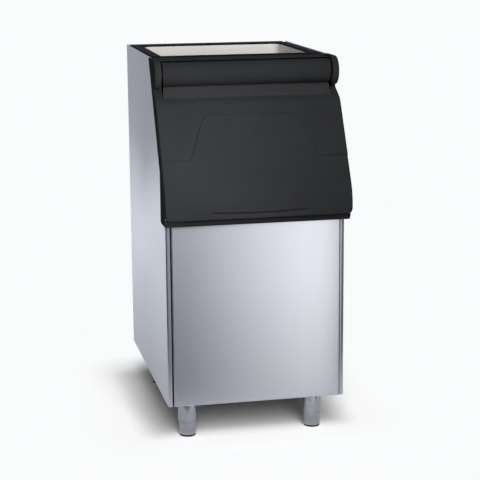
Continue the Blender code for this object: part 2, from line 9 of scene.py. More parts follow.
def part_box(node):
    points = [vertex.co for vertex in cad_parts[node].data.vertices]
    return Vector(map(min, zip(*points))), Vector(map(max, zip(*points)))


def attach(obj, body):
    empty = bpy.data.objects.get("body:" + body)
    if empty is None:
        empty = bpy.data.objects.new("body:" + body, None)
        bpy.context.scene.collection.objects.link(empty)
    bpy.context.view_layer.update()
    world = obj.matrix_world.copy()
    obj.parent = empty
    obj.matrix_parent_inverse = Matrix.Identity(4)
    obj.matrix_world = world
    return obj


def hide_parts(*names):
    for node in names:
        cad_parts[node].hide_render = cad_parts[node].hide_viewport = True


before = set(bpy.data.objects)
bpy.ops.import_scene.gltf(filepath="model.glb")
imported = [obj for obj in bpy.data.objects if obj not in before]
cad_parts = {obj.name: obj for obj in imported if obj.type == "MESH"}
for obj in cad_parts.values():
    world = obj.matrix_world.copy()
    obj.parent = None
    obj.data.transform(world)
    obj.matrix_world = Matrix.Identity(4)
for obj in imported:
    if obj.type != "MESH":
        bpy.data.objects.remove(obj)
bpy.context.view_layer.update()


# The studio: a white floor that runs out into a white backdrop, one large soft lamp in front of
# the bin and a small one near its door. Where the camera sees the floor, it is painted darker
# round the bin's base, a painted shadow. A card with a tone that grows across it and two black
# flags show only in reflections. The camera stands a little to the left, above the bin's lid.
scene = bpy.context.scene
scene.view_settings.view_transform = "Standard"

camera = bpy.data.objects.new("camera", bpy.data.cameras.new("camera"))
camera.data.lens = 108.776
camera.data.sensor_width = 36
camera.data.clip_end = 200
turned = (Matrix.Rotation(math.radians(-11.955), 3, "Z")
          @ Matrix.Rotation(math.radians(90 - 12.105), 3, "X")
          @ Matrix.Rotation(math.radians(-0.446), 3, "Z"))
camera.matrix_world = Matrix.Translation((-0.918403, -4.450555, 1.527738)) @ turned.to_4x4()
scene.collection.objects.link(camera)
scene.camera = camera


def shader_tree(name):
    """A new node material: the material, its node tree and its Principled shader."""
    made = bpy.data.materials.new(name)
    made.use_nodes = True
    tree = made.node_tree
    return made, tree, tree.nodes["Principled BSDF"]


def node(tree, kind, **values):
    """A node of one kind, with its plain properties and its input values set."""
    made = tree.nodes.new(kind)
    for key, value in values.items():
        if hasattr(made, key):
            setattr(made, key, value)
        else:
            made.inputs[key.replace("_", " ")].default_value = value
    return made


def solid_object(bm, name):
    """The finished mesh as an object at the origin, smooth but for its sharp edges."""
    bmesh.ops.remove_doubles(bm, verts=bm.verts[:], dist=0.000001)
    bmesh.ops.recalc_face_normals(bm, faces=bm.faces[:])
    mesh = bpy.data.meshes.new(name)
    bm.to_mesh(mesh)
    bm.free()
    mesh.shade_smooth()
    mesh.set_sharp_from_angle(angle=math.radians(32))
    made = bpy.data.objects.new(name, mesh)
    scene.collection.objects.link(made)
    return made


def graded(tree, factor, stops):
    """A ramp of colours over a factor: (place, colour) for each stop."""
    ramp = node(tree, "ShaderNodeValToRGB")
    while len(ramp.color_ramp.elements) < len(stops):
        ramp.color_ramp.elements.new(0.5)
    for element, (place, colour) in zip(ramp.color_ramp.elements, stops):
        element.position = place
        element.color = (*colour, 1)
    tree.links.new(factor, ramp.inputs["Fac"])
    return ramp.outputs["Color"]


def feed(tree, inlet, value):
    """Links an input to a socket, or sets it to a plain value."""
    if isinstance(value, bpy.types.NodeSocket):
        tree.links.new(value, inlet)
    else:
        inlet.default_value = value


def wired(tree, kind, *given, **values):
    """A node whose first inputs take sockets or plain values: its first output."""
    made = node(tree, kind, **values)
    for inlet, value in zip(made.inputs, given):
        feed(tree, inlet, value)
    return made.outputs[0]


def blended(tree, share, one, other, kind="RGBA"):
    """A mix of two colours, or of two numbers, by a share: each a socket or a plain value."""
    made = node(tree, "ShaderNodeMix", data_type=kind)
    first, result = (6, 2) if kind == "RGBA" else (2, 0)
    for place, value in ((0, share), (first, one), (first + 1, other)):
        feed(tree, made.inputs[place], value)
    return made.outputs[result]


def ray_shares(tree):
    """1 where the steel mirrors this straight to the camera, and 1 where the camera sees it."""
    rays = node(tree, "ShaderNodeLightPath").outputs
    mirrored = wired(tree, "ShaderNodeMath", rays["Is Glossy Ray"], rays["Diffuse Depth"],
                     operation="SUBTRACT", use_clamp=True)
    direct = wired(tree, "ShaderNodeMath", rays["Is Camera Ray"], rays["Is Transmission Ray"],
                   operation="MAXIMUM")
    return mirrored, direct


paper_white = (0.956, 0.965, 0.974, 1)
footprint_centre, footprint_half = (0, 0.10, 0), (0.27, 0.30, 0)

bm = bmesh.new()
bmesh.ops.create_grid(bm, x_segments=1, y_segments=1, size=60)
floor = solid_object(bm, "studio_floor")
floor_paint, tree, shader = shader_tree("studio_floor")
tree.nodes.remove(shader)
mirrored, direct = ray_shares(tree)
place = node(tree, "ShaderNodeTexCoord").outputs["Object"]
away = node(tree, "ShaderNodeVectorMath", operation="LENGTH")
tree.links.new(place, away.inputs[0])
reach = wired(tree, "ShaderNodeMapRange", away.outputs["Value"], From_Min=0.0, From_Max=10.0)
# Painted reflection: the floor's tone as the steel mirrors it is graded by distance, dim near the bin,
# brightest about 3.4 m out and darker far off.
painted_floor_reflection = graded(tree, reach, ((0.05, (1.12, 1.15, 1.25)), (0.15, (1.60, 1.66, 1.82)),
                                  (0.34, (1.95, 2.02, 2.20)), (0.85, (0.80, 0.83, 0.90))))
bounced = blended(tree, mirrored, (0.30, 0.305, 0.31, 1), painted_floor_reflection)
aside = place
for operation, amount in (("SUBTRACT", footprint_centre), ("ABSOLUTE", (0, 0, 0)),
                          ("SUBTRACT", footprint_half), ("MAXIMUM", (0, 0, 0)),
                          ("LENGTH", (0, 0, 0))):
    step = node(tree, "ShaderNodeVectorMath", operation=operation)
    feed(tree, step.inputs[0], aside)
    feed(tree, step.inputs[1], amount)
    aside = step.outputs["Value" if operation == "LENGTH" else "Vector"]
# Painted shadow: the floor the camera sees is darker over a box about the bin's base, and comes up to its
# full tone 9 cm beyond it.
under = wired(tree, "ShaderNodeMapRange", aside, From_Min=0.0, From_Max=0.09)
painted_shadow_tone = blended(tree, under, (1.03, 1.02, 1.01, 1), (1.66, 1.66, 1.66, 1))
matt = wired(tree, "ShaderNodeBsdfDiffuse", blended(tree, direct, bounced, painted_shadow_tone))
fading = wired(tree, "ShaderNodeMapRange", aside, interpolation_type="SMOOTHSTEP", From_Min=0.02,
               From_Max=0.26)
paper_share = wired(tree, "ShaderNodeMath", fading, direct, operation="MULTIPLY")
paper = wired(tree, "ShaderNodeEmission", paper_white, 1.0)
ground = wired(tree, "ShaderNodeMixShader", paper_share, matt, paper)
tree.links.new(ground, tree.nodes["Material Output"].inputs["Surface"])
floor.data.materials.append(floor_paint)

world = bpy.data.worlds.new("studio_room")
world.use_nodes = True
scene.world = world
tree = world.node_tree
room = tree.nodes["Background"]
mirrored, direct = ray_shares(tree)
direction = node(tree, "ShaderNodeSeparateXYZ")
tree.links.new(node(tree, "ShaderNodeTexCoord").outputs["Generated"], direction.inputs[0])
walls = graded(tree, direction.outputs["Z"], ((0.0, (0.52, 0.54, 0.60)), (0.6, (0.85, 0.87, 0.92))))
tree.links.new(walls, room.inputs["Color"])
level = wired(tree, "ShaderNodeMath", mirrored, 0.80, 0.06, operation="MULTIPLY_ADD")
tree.links.new(level, room.inputs["Strength"])
backdrop = wired(tree, "ShaderNodeBackground", paper_white, 1.0)
surroundings = wired(tree, "ShaderNodeMixShader", direct, room.outputs[0], backdrop)
tree.links.new(surroundings, tree.nodes["World Output"].inputs["Surface"])

lamp = bpy.data.lights.new("key_lamp", "SUN")
lamp.energy = 3.0
lamp.angle = math.radians(34)
key_lamp = bpy.data.objects.new("key_lamp", lamp)
key_lamp.rotation_euler = (math.radians(58), 0, math.radians(-3))
scene.collection.objects.link(key_lamp)

lamp = bpy.data.lights.new("side_lamp", "AREA")
lamp.energy = 2.0
lamp.size = 0.25
lamp.spread = math.radians(70)
side_lamp = bpy.data.objects.new("side_lamp", lamp)
side_lamp.location = (-0.37, -1.20, 1.00)
aim = Vector((-0.15, -0.35, 0.92)) - side_lamp.location
side_lamp.rotation_euler = aim.to_track_quat("-Z", "Y").to_euler()
side_lamp.visible_camera = side_lamp.visible_glossy = False
scene.collection.objects.link(side_lamp)


def upright_sheet(name, place, axis, width, height):
    """A flat rectangle, turned upright about an axis, that shows only in reflections."""
    bm = bmesh.new()
    bmesh.ops.create_grid(bm, x_segments=1, y_segments=1, size=0.5)
    bmesh.ops.transform(bm, verts=bm.verts[:], matrix=Matrix.Translation(place)
                        @ Matrix.Rotation(math.radians(90), 4, axis)
                        @ Matrix.Diagonal((width, height, 1, 1)))
    made = solid_object(bm, name)
    made.visible_camera = made.visible_diffuse = False
    made.visible_transmission = made.visible_shadow = False
    return made


card = upright_sheet("graded_card", (0, -0.62, 0.40), "X", 2.4, 0.8)
card_paint, tree, shader = shader_tree("graded_card")
tree.nodes.remove(shader)
spot = node(tree, "ShaderNodeSeparateXYZ")
tree.links.new(node(tree, "ShaderNodeTexCoord").outputs["Object"], spot.inputs[0])
across = wired(tree, "ShaderNodeMapRange", spot.outputs["X"], From_Min=-1.2, From_Max=1.2)
# Painted reflection for the front panel and its side returns: the card is nearly black at its far ends,
# dim on the left, bright on the right, and brighter towards its top.
tone = graded(tree, across, ((0.335, (0.03, 0.03, 0.03)), (0.35, (0.38, 0.40, 0.46)),
                             (0.41, (0.38, 0.40, 0.46)), (0.635, (1.7, 1.7, 1.78)),
                             (0.65, (1.65, 1.65, 1.7)), (0.665, (0.05, 0.05, 0.06))))
climb = wired(tree, "ShaderNodeMapRange", spot.outputs["Z"], From_Min=0.0, From_Max=0.46,
              To_Min=0.63, To_Max=1.0)
lit = wired(tree, "ShaderNodeEmission", tone, climb)
tree.links.new(lit, tree.nodes["Material Output"].inputs["Surface"])
card.data.materials.append(card_paint)

flag_paint, tree, shader = shader_tree("black_flag")
shader.inputs["Base Color"].default_value = (0.02, 0.02, 0.022, 1)
shader.inputs["Roughness"].default_value = 1
shader.inputs["Specular IOR Level"].default_value = 0
# Painted reflections: black sheets that the steel mirrors as dark patches on either side.
for side, word in ((-1, "left"), (1, "right")):
    flag = upright_sheet("black_flag_" + word, (side * 0.80, -0.48, 0.35), "Y", 0.70, 0.40)
    flag.data.materials.append(flag_paint)


# The two side sheets: satin stainless steel with an upright brushed grain, folded at the front
# with a 4 mm bend and a narrow return that leans out a little, and flanged at the rear and below.
cabinet_depth, cabinet_height, back_face = 0.750, 1.028, 0.7484
cabinet_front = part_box("back_panel")[1].y - back_face
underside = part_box("side_sheet_left")[0].z
side_face = 0.2725
return_width = 0.013
sheet = 0.001


def texture_group(name, **numbers):
    """An empty node group with number inputs: the group, its inlet, its outlet and the place read."""
    group = bpy.data.node_groups.new(name, "ShaderNodeTree")
    for key, value in numbers.items():
        group.interface.new_socket(key.replace("_", " "), in_out="INPUT",
                                   socket_type="NodeSocketFloat").default_value = value
    for key in ("Tone", "Height"):
        group.interface.new_socket(key, in_out="OUTPUT", socket_type="NodeSocketFloat")
    return (group, node(group, "NodeGroupInput"), node(group, "NodeGroupOutput"),
            node(group, "ShaderNodeTexCoord"))


def noise_of(group, inlet, where, size, **values):
    """Noise on a place, with its scale from one of the group's inputs."""
    noise = node(group, "ShaderNodeTexNoise", **values)
    group.links.new(where, noise.inputs["Vector"])
    group.links.new(inlet.outputs[size], noise.inputs["Scale"])
    return noise.outputs[0]


def give(group, outlet, tone, height):
    """Hands a texture's tone and height out of its group."""
    group.links.new(tone, outlet.inputs["Tone"])
    group.links.new(height, outlet.inputs["Height"])


brush_marks, inlet, outlet, place = texture_group("brushed grain", Fine=900, Broad=30)
drawn = node(brush_marks, "ShaderNodeMapping")
drawn.inputs["Scale"].default_value = (1, 1, 0.012)
brush_marks.links.new(place.outputs["Object"], drawn.inputs["Vector"])
fine = noise_of(brush_marks, inlet, drawn.outputs["Vector"], "Fine", Detail=3, Roughness=0.6)
broad = noise_of(brush_marks, inlet, drawn.outputs["Vector"], "Broad", Detail=2, Roughness=0.5)
give(brush_marks, outlet, blended(brush_marks, 0.25, fine, broad, "FLOAT"), fine)

# Wear shared by every finish: thumbed, rubbed edges on the convex corners of a piece, and a
# film of settled dust on what faces up.
worn = bpy.data.node_groups.new("wear and dust", "ShaderNodeTree")
for key, value in (("Edge", 0.5), ("Dust", 0.2), ("Patch", 40)):
    worn.interface.new_socket(key, in_out="INPUT", socket_type="NodeSocketFloat").default_value = value
for key in ("Edge", "Dust"):
    worn.interface.new_socket(key, in_out="OUTPUT", socket_type="NodeSocketFloat")
inlet = node(worn, "NodeGroupInput")
outlet = node(worn, "NodeGroupOutput")
place = node(worn, "ShaderNodeTexCoord")
patches = noise_of(worn, inlet, place.outputs["Object"], "Patch", Detail=4, Roughness=0.65)
shape = node(worn, "ShaderNodeNewGeometry")
corner = wired(worn, "ShaderNodeMapRange", shape.outputs["Pointiness"], From_Min=0.52, From_Max=0.60)
facing = node(worn, "ShaderNodeSeparateXYZ")
worn.links.new(shape.outputs["Normal"], facing.inputs[0])
upward = wired(worn, "ShaderNodeMapRange", facing.outputs["Z"], From_Min=0.35, From_Max=1.0)
for start, name in ((corner, "Edge"), (upward, "Dust")):
    broken = wired(worn, "ShaderNodeMath", start, patches, operation="MULTIPLY")
    amount = wired(worn, "ShaderNodeMath", broken, inlet.outputs[name], operation="MULTIPLY")
    worn.links.new(amount, outlet.inputs[name])


def placed(tree, group, **values):
    """One use of a node group in a material, with its own values."""
    made = tree.nodes.new("ShaderNodeGroup")
    made.node_tree = group
    for key, value in values.items():
        made.inputs[key.replace("_", " ")].default_value = value
    return made


def finish(name, texture, tones, rough, depth, edge=(), dust=(), metal=0.0, specular=0.5):
    """A finish: two tones and roughnesses over a texture's marks, relief, worn edges and dust."""
    made, tree, shader = shader_tree(name)
    marks = texture(tree)
    colour = graded(tree, marks.outputs["Tone"], ((0.3, tones[0]), (0.7, tones[1])))
    use = placed(tree, worn, Edge=edge[0] if edge else 0, Dust=dust[0] if dust else 0)
    for name_of, layer in (("Edge", edge), ("Dust", dust)):
        if layer:
            colour = blended(tree, use.outputs[name_of], colour, (*layer[1], 1))
    tree.links.new(colour, shader.inputs["Base Color"])
    span = wired(tree, "ShaderNodeMapRange", marks.outputs["Tone"], From_Min=0.3, From_Max=0.7,
                 To_Min=rough[0], To_Max=rough[1])
    duller = wired(tree, "ShaderNodeMath", span, use.outputs["Dust"], operation="ADD", use_clamp=True)
    tree.links.new(duller, shader.inputs["Roughness"])
    relief = node(tree, "ShaderNodeBump", Strength=1.0, Distance=depth)
    tree.links.new(marks.outputs["Height"], relief.inputs["Height"])
    tree.links.new(relief.outputs["Normal"], shader.inputs["Normal"])
    shader.inputs["Metallic"].default_value = metal
    shader.inputs["Specular IOR Level"].default_value = specular
    return made


brushed_steel = finish("brushed_steel", lambda tree: placed(tree, brush_marks),
                       ((0.497, 0.505, 0.527), (0.533, 0.541, 0.563)), (0.35, 0.30), 0.000010,
                       edge=(0.5, (0.66, 0.67, 0.69)), metal=1.0)


def fitted(bm, name, body, finish_used, slot, *stands_for):
    """A finished piece: mesh, finish, the body it rides on and any solids it stands for. Its slot is not
    used.
    """
    made = solid_object(bm, name)
    made.data.materials.append(finish_used)
    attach(made, body)
    if stands_for:
        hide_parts(*stands_for)
    return made


def given_wall(piece, thickness, softening):
    """A folded sheet's wall, inwards from its outer face, with its cut edges softened."""
    wall = piece.modifiers.new("wall", "SOLIDIFY")
    wall.thickness = thickness
    wall.offset = -1
    wall.use_even_offset = True
    edge = piece.modifiers.new("softened edges", "BEVEL")
    edge.width = softening
    edge.segments = 2
    edge.limit_method = "ANGLE"
    edge.angle_limit = math.radians(50)


def outward(bm, direction):
    """Turns an open shell's faces outwards: its largest face looks along the direction."""
    bmesh.ops.recalc_face_normals(bm, faces=bm.faces[:])
    face = max(bm.faces, key=lambda one: one.calc_area())
    if face.normal.dot(direction) < 0:
        bmesh.ops.reverse_faces(bm, faces=bm.faces[:])


def rounded(bm, edges, size, steps, clamped=False):
    """Rounds edges off in even steps."""
    bmesh.ops.bevel(bm, geom=edges, offset=size, offset_type="OFFSET", segments=steps, profile=0.5,
                    affect="EDGES", material=-1, clamp_overlap=clamped)


return_lean = 0.0030
for side, word in ((-1, "left"), (1, "right")):
    bm = bmesh.new()
    slope_foot, slope_back = 0.67013, 0.19994
    outline = [(return_lean, 0), (return_lean, slope_foot - 0.03), (0, slope_foot),
               (slope_back, cabinet_height), (cabinet_depth, cabinet_height), (cabinet_depth, 0)]
    corners = [bm.verts.new((side * side_face, cabinet_front + y, underside + z)) for y, z in outline]
    bm.faces.new(corners)
    inner = [bm.verts.new((side * (side_face - return_width), cabinet_front + (0 if y < 0.01 else y),
                           underside + z)) for y, z in outline]
    for first, second in ((0, 1), (1, 2), (4, 5), (5, 0)):
        bm.faces.new((corners[first], inner[first], inner[second], corners[second]))
    bm.verts.remove(inner[3])
    outward(bm, Vector((side, 0, 0)))
    bends = [edge for edge in bm.edges if all(v.co.y < cabinet_front + 0.0035 for v in edge.verts)
             and all(abs(abs(v.co.x) - side_face) < 0.00001 for v in edge.verts)
             and len(edge.link_faces) == 2]
    rounded(bm, bends, 0.0048, 8)
    flange = [edge for edge in bm.edges if len(edge.link_faces) == 2
              and (all(v.co.z < underside + 0.0001 for v in edge.verts)
                   or all(v.co.y > cabinet_front + cabinet_depth - 0.0001 for v in edge.verts))]
    rounded(bm, flange, 0.0012, 3)
    piece = solid_object(bm, "side_skin_" + word)
    given_wall(piece, sheet, 0.0002)
    piece.data.materials.append(brushed_steel)
    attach(piece, "cabinet")
    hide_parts("side_sheet_" + word)


# The front panel: a shallow pan of the same brushed steel, its edges folded back on a 3 mm bend,
# hung under the door. A black strip in the narrow slot between it and each side is painted shade,
# the slot's shadow.
def plain_block(centre, size):
    """A plain block, by its centre and its size."""
    bm = bmesh.new()
    bmesh.ops.create_cube(bm, size=1)
    bmesh.ops.transform(bm, verts=bm.verts[:],
                        matrix=Matrix.Translation(centre) @ Matrix.Diagonal((*size, 1)))
    return bm


panel_half, panel_low, panel_top, panel_depth = 0.2555, 0.0025, 0.6060, 0.011
bm = plain_block((0, cabinet_front - 0.0045, underside + (panel_low + panel_top) / 2),
                 (2 * panel_half, panel_depth, panel_top - panel_low))
bmesh.ops.delete(bm, geom=[face for face in bm.faces if face.normal.y > 0.5], context="FACES_ONLY")
folds = [edge for edge in bm.edges if len(edge.link_faces) == 2]
rounded(bm, folds, 0.003, 6)
outward(bm, Vector((0, -1, 0)))
panel = solid_object(bm, "front_skin")
given_wall(panel, sheet, 0.0002)
panel.data.materials.append(brushed_steel)
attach(panel, "cabinet")
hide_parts("front_panel")

moulded_skin, inlet, outlet, place = texture_group("moulded grain", Grain=1400, Cloud=6)
cloud = noise_of(moulded_skin, inlet, place.outputs["Object"], "Cloud", Detail=3, Roughness=0.6)
grain = noise_of(moulded_skin, inlet, place.outputs["Object"], "Grain", Detail=2, Roughness=0.5)
give(moulded_skin, outlet, cloud, grain)
dark_rubber = finish("rubber", lambda tree: placed(tree, moulded_skin, Grain=900, Cloud=25),
                     ((0.0045, 0.0045, 0.005), (0.009, 0.009, 0.010)), (0.9, 0.8), 0.00008,
                     edge=(0.4, (0.03, 0.03, 0.032)), dust=(0.10, (0.10, 0.10, 0.10)), specular=0.06)
# Painted shade: each dark strip stands for the shadow in the slot beside the panel.
slot_shade_aside, slot_shade_behind, slot_shade_middle = 0.2590, 0.00265, 0.279
slot_shade_size = (0.0120, 0.0027, 0.5500)
for side, word in ((-1, "left"), (1, "right")):
    bm = plain_block((side * slot_shade_aside, cabinet_front + slot_shade_behind, underside + slot_shade_middle), slot_shade_size)
    upright = [edge for edge in bm.edges if abs(edge.verts[0].co.z - edge.verts[1].co.z) > 0.1]
    rounded(bm, upright, 0.0008, 3)
    fitted(bm, "slot_shade_strip_" + word, "cabinet", dark_rubber, "rubber")


# The back panel: a zinc-coated sheet between the rear flanges, stiffened by a shallow diagonal
# break, and held by six button-head screws with a six-sided socket.
spangle, inlet, outlet, place = texture_group("zinc spangle", Crystal=90, Cloud=8)
cells = node(spangle, "ShaderNodeTexVoronoi", feature="F1", distance="MINKOWSKI", Exponent=0.7)
spangle.links.new(place.outputs["Object"], cells.inputs["Vector"])
spangle.links.new(inlet.outputs["Crystal"], cells.inputs["Scale"])
crystal = node(spangle, "ShaderNodeSeparateColor")
spangle.links.new(cells.outputs["Color"], crystal.inputs[0])
cloud = noise_of(spangle, inlet, place.outputs["Object"], "Cloud", Detail=4, Roughness=0.6)
give(spangle, outlet, blended(spangle, 0.45, crystal.outputs[0], cloud, "FLOAT"),
     cells.outputs["Distance"])
galvanised = finish("galvanised_steel", lambda tree: placed(tree, spangle),
                    ((0.36, 0.37, 0.38), (0.56, 0.57, 0.58)), (0.52, 0.36), 0.00002,
                    edge=(0.5, (0.66, 0.67, 0.68)), dust=(0.5, (0.30, 0.29, 0.27)), metal=1.0)

back_half, back_low, back_top = 0.2712, 0.0026, 1.0212
bm = bmesh.new()
corners = [bm.verts.new((x, cabinet_front + back_face, underside + z))
           for x, z in ((back_half, back_low), (back_half, back_top),
                        (-back_half, back_top), (-back_half, back_low))]
bm.faces.new(corners)
outward(bm, Vector((0, 1, 0)))
bmesh.ops.inset_region(bm, faces=bm.faces[:], thickness=0.022, use_boundary=True, use_even_offset=True)
middle = max(bm.faces, key=lambda face: face.calc_area())
bmesh.ops.inset_region(bm, faces=[middle], thickness=0.004, use_even_offset=True)
middle = max(bm.faces, key=lambda face: face.calc_area())
bmesh.ops.translate(bm, verts=middle.verts[:], vec=(0, 0.0006, 0))
for vert in bmesh.ops.poke(bm, faces=[middle])["verts"]:
    vert.co.y += 0.0012
back = solid_object(bm, "rear_skin")
given_wall(back, sheet, 0.0002)
back.data.materials.append(galvanised)
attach(back, "cabinet")
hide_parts("back_panel")


def turned_piece(profile, place, steps=48):
    """A turned solid about an upright line, from (radius, height) points, with its poles closed."""
    bm = bmesh.new()
    line = [bm.verts.new((radius, 0, height)) for radius, height in profile]
    chain = [bm.edges.new(pair) for pair in zip(line, line[1:])]
    bmesh.ops.spin(bm, geom=line + chain, cent=(0, 0, 0), axis=(0, 0, 1), angle=2 * math.pi,
                   steps=steps, use_merge=True)
    bmesh.ops.remove_doubles(bm, verts=bm.verts[:], dist=0.00001)
    bmesh.ops.translate(bm, verts=bm.verts[:], vec=place)
    return bm


def roll(centre, radius, start, end, steps=5):
    """Points of a rounded corner of a profile, angles in degrees."""
    return [(centre[0] + radius * math.cos(math.radians(start + (end - start) * step / steps)),
             centre[1] + radius * math.sin(math.radians(start + (end - start) * step / steps)))
            for step in range(steps + 1)]


screw_aside, screw_face = 0.2665, 0.7503
button = ([(0, 0.0008), (0.0014, 0.0008), (0.0015, 0.0020), (0.0019, 0.0022)]
          + roll((0.0030, 0.0002), 0.0020, 80, 0)
          + [(0.0050, 0.0), (0.0020, 0.0), (0.0020, -0.0026), (0, -0.0026)])
for side, word in ((-1, "left"), (1, "right")):
    for number, height in enumerate((0.12336, 0.514, 0.90464), 1):
        bm = turned_piece(button, (0, 0, 0), 36)
        socket = [v for v in bm.verts if v.co.z > 0.0007 and 0.0001 < v.co.xy.length < 0.0016]
        for vert in socket:
            turn = math.atan2(vert.co.y, vert.co.x)
            flat = math.cos(math.radians(30)) / math.cos((turn % math.radians(60)) - math.radians(30))
            vert.co.xy = vert.co.xy * flat
        bmesh.ops.transform(bm, verts=bm.verts[:],
                            matrix=Matrix.Translation((side * screw_aside, cabinet_front + screw_face,
                                                       underside + height))
                            @ Matrix.Rotation(math.radians(-90), 4, "X"))
        fitted(bm, f"rear_screw_{word}_{number}", "cabinet", galvanised, "galvanised_steel",
               f"back_screw_{word}_{number}")


# The base pan: a flat zinc-coated tray between the side flanges, with a hole for the drain.
def softened(name, radius, steps=2, sharp=38, keep=None):
    """A solid's mesh as whole faces, with its sharp edges rounded off: all of them, or those whose
    corners all pass the test keep. A radius of 0 leaves them sharp."""
    bm = bmesh.new()
    bm.from_mesh(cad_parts[name].data)
    bmesh.ops.remove_doubles(bm, verts=bm.verts[:], dist=0.000005)
    bmesh.ops.dissolve_limit(bm, angle_limit=math.radians(0.5), use_dissolve_boundaries=False,
                             verts=bm.verts[:], edges=bm.edges[:], delimit={"NORMAL"})
    edges = [edge for edge in bm.edges if len(edge.link_faces) == 2
             and edge.calc_face_angle() > math.radians(sharp)
             and (keep is None or all(keep(vert) for vert in edge.verts))]
    if radius:
        rounded(bm, edges, radius, steps, clamped=True)
    return bm


fitted(softened("base_pan", 0.0002), "base_tray", "cabinet", galvanised, "galvanised_steel", "base_pan")


# The four legs: a zinc plate bolted under the base, a turned stainless tube with a rolled foot,
# and a stainless foot on a screw, with a rubber pad. The feet screw in to level the bin.
turned_marks, inlet, outlet, place = texture_group("turned marks", Fine=700, Broad=60)
lathe = node(turned_marks, "ShaderNodeMapping")
lathe.inputs["Scale"].default_value = (0.05, 0.05, 1)
turned_marks.links.new(place.outputs["Object"], lathe.inputs["Vector"])
fine = noise_of(turned_marks, inlet, lathe.outputs["Vector"], "Fine", Detail=3, Roughness=0.6)
broad = noise_of(turned_marks, inlet, lathe.outputs["Vector"], "Broad", Detail=3, Roughness=0.6)
give(turned_marks, outlet, blended(turned_marks, 0.4, fine, broad, "FLOAT"), fine)
polished = finish("polished_steel", lambda tree: placed(tree, turned_marks),
                  ((0.33, 0.328, 0.335), (0.44, 0.438, 0.446)), (0.20, 0.14), 0.000008,
                  edge=(0.5, (0.55, 0.55, 0.56)), dust=(0.3, (0.25, 0.24, 0.22)), metal=1.0)

tube_top, tube_low = -0.0023, -0.0813
tube = ([(0.0050, tube_top)] + roll((0.0278, tube_top - 0.0012), 0.0012, 90, 0, 4)
        + [(0.0290, tube_low + 0.0072), (0.0286, tube_low + 0.0066), (0.0286, tube_low + 0.0056),
           (0.0290, tube_low + 0.0050)]
        + roll((0.0274, tube_low + 0.0016), 0.0016, 0, -90, 5)
        + [(0.0073, tube_low), (0.0073, tube_low + 0.012), (0.0275, tube_low + 0.012),
           (0.0275, tube_top - 0.0015), (0.0050, tube_top - 0.0015), (0.0050, tube_top)])
foot_top, foot_low = -0.0816, -0.1207
thread = [(0.0062 if turn % 2 else 0.0069, -0.0196 - 0.0009 * turn) for turn in range(60)]
foot = ([(0, -0.0190)] + thread + [(0.0066, foot_top - 0.0002)]
        + roll((0.0252, foot_top - 0.0010), 0.0008, 90, 0, 4)
        + roll((0.0254, foot_top - 0.0060), 0.0006, 20, -20, 2)
        + roll((0.0256, foot_low + 0.0150), 0.0004, 90, -90, 3)
        + roll((0.0225, foot_low + 0.0035), 0.0035, 0, -90, 5) + [(0, foot_low)])
pad = ([(0, -0.1210)] + roll((0.0240, -0.1218), 0.0008, 90, 0, 3)
       + roll((0.0238, -0.1242), 0.0008, 0, -90, 3)
       + [(0.0190, -0.1250), (0.0185, -0.1244), (0.0130, -0.1244), (0.0125, -0.1250), (0, -0.1250)])
leg_aside, plate_width, plate_thickness, bolt_aside = 0.198, 0.084, 0.003, 0.0335
for end, y in (("front", 0.100), ("rear", 0.650)):
    for side, word in ((-1, "left"), (1, "right")):
        label = f"{end}_{word}"
        place = Vector((side * leg_aside, cabinet_front + y, underside))
        bm = plain_block(place + Vector((0, 0, -0.0005)), (plate_width, plate_width, plate_thickness))
        upright = [edge for edge in bm.edges if abs(edge.verts[0].co.z - edge.verts[1].co.z) > 0.001]
        rounded(bm, upright, 0.009, 7)
        rounded(bm, [edge for edge in bm.edges if edge.calc_face_angle() > 1.2], 0.0005, 2)
        for x_way in (-1, 1):
            for y_way in (-1, 1):
                head = bmesh.ops.create_cone(bm, cap_ends=True, segments=6, radius1=0.0052,
                                             radius2=0.0056, depth=0.0030)["verts"]
                bolt = place + Vector((x_way * bolt_aside, y_way * bolt_aside, -0.0034))
                bmesh.ops.translate(bm, verts=head, vec=bolt)
        fitted(bm, "leg_flange_" + label, "cabinet", galvanised, "galvanised_steel",
               "leg_plate_" + label)
        fitted(turned_piece(tube, place), "leg_sleeve_" + label, "cabinet", polished, "polished_steel",
               "leg_tube_" + label)
        fitted(turned_piece(foot, place), "screw_foot_" + label, "foot_body_" + label, polished,
               "polished_steel", "foot_" + label)
        fitted(turned_piece(pad, place), "rubber_pad_" + label, "foot_body_" + label, dark_rubber,
               "rubber", "foot_pad_" + label)


# The insulation: slabs of yellow polyurethane foam between the liner and the sheets, cut with a
# knife, so that their faces show open pores. The solids' own shapes are right for them.
pores, inlet, outlet, place = texture_group("foam pores", Pore=700, Cloud=12)
cells = node(pores, "ShaderNodeTexVoronoi", feature="F1")
pores.links.new(place.outputs["Object"], cells.inputs["Vector"])
pores.links.new(inlet.outputs["Pore"], cells.inputs["Scale"])
cloud = noise_of(pores, inlet, place.outputs["Object"], "Cloud", Detail=5, Roughness=0.65)
bubbles = cells.outputs["Distance"]
give(pores, outlet, blended(pores, 0.35, cloud, bubbles, "FLOAT"), bubbles)
foam = finish("insulation_foam", lambda tree: placed(tree, pores),
              ((0.44, 0.33, 0.13), (0.66, 0.55, 0.27)), (0.95, 0.85), 0.0006,
              dust=(0.25, (0.32, 0.29, 0.22)), specular=0.15)
for name in ("foam_left", "foam_right", "foam_front", "foam_back", "foam_floor"):
    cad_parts[name].data.materials[0] = foam


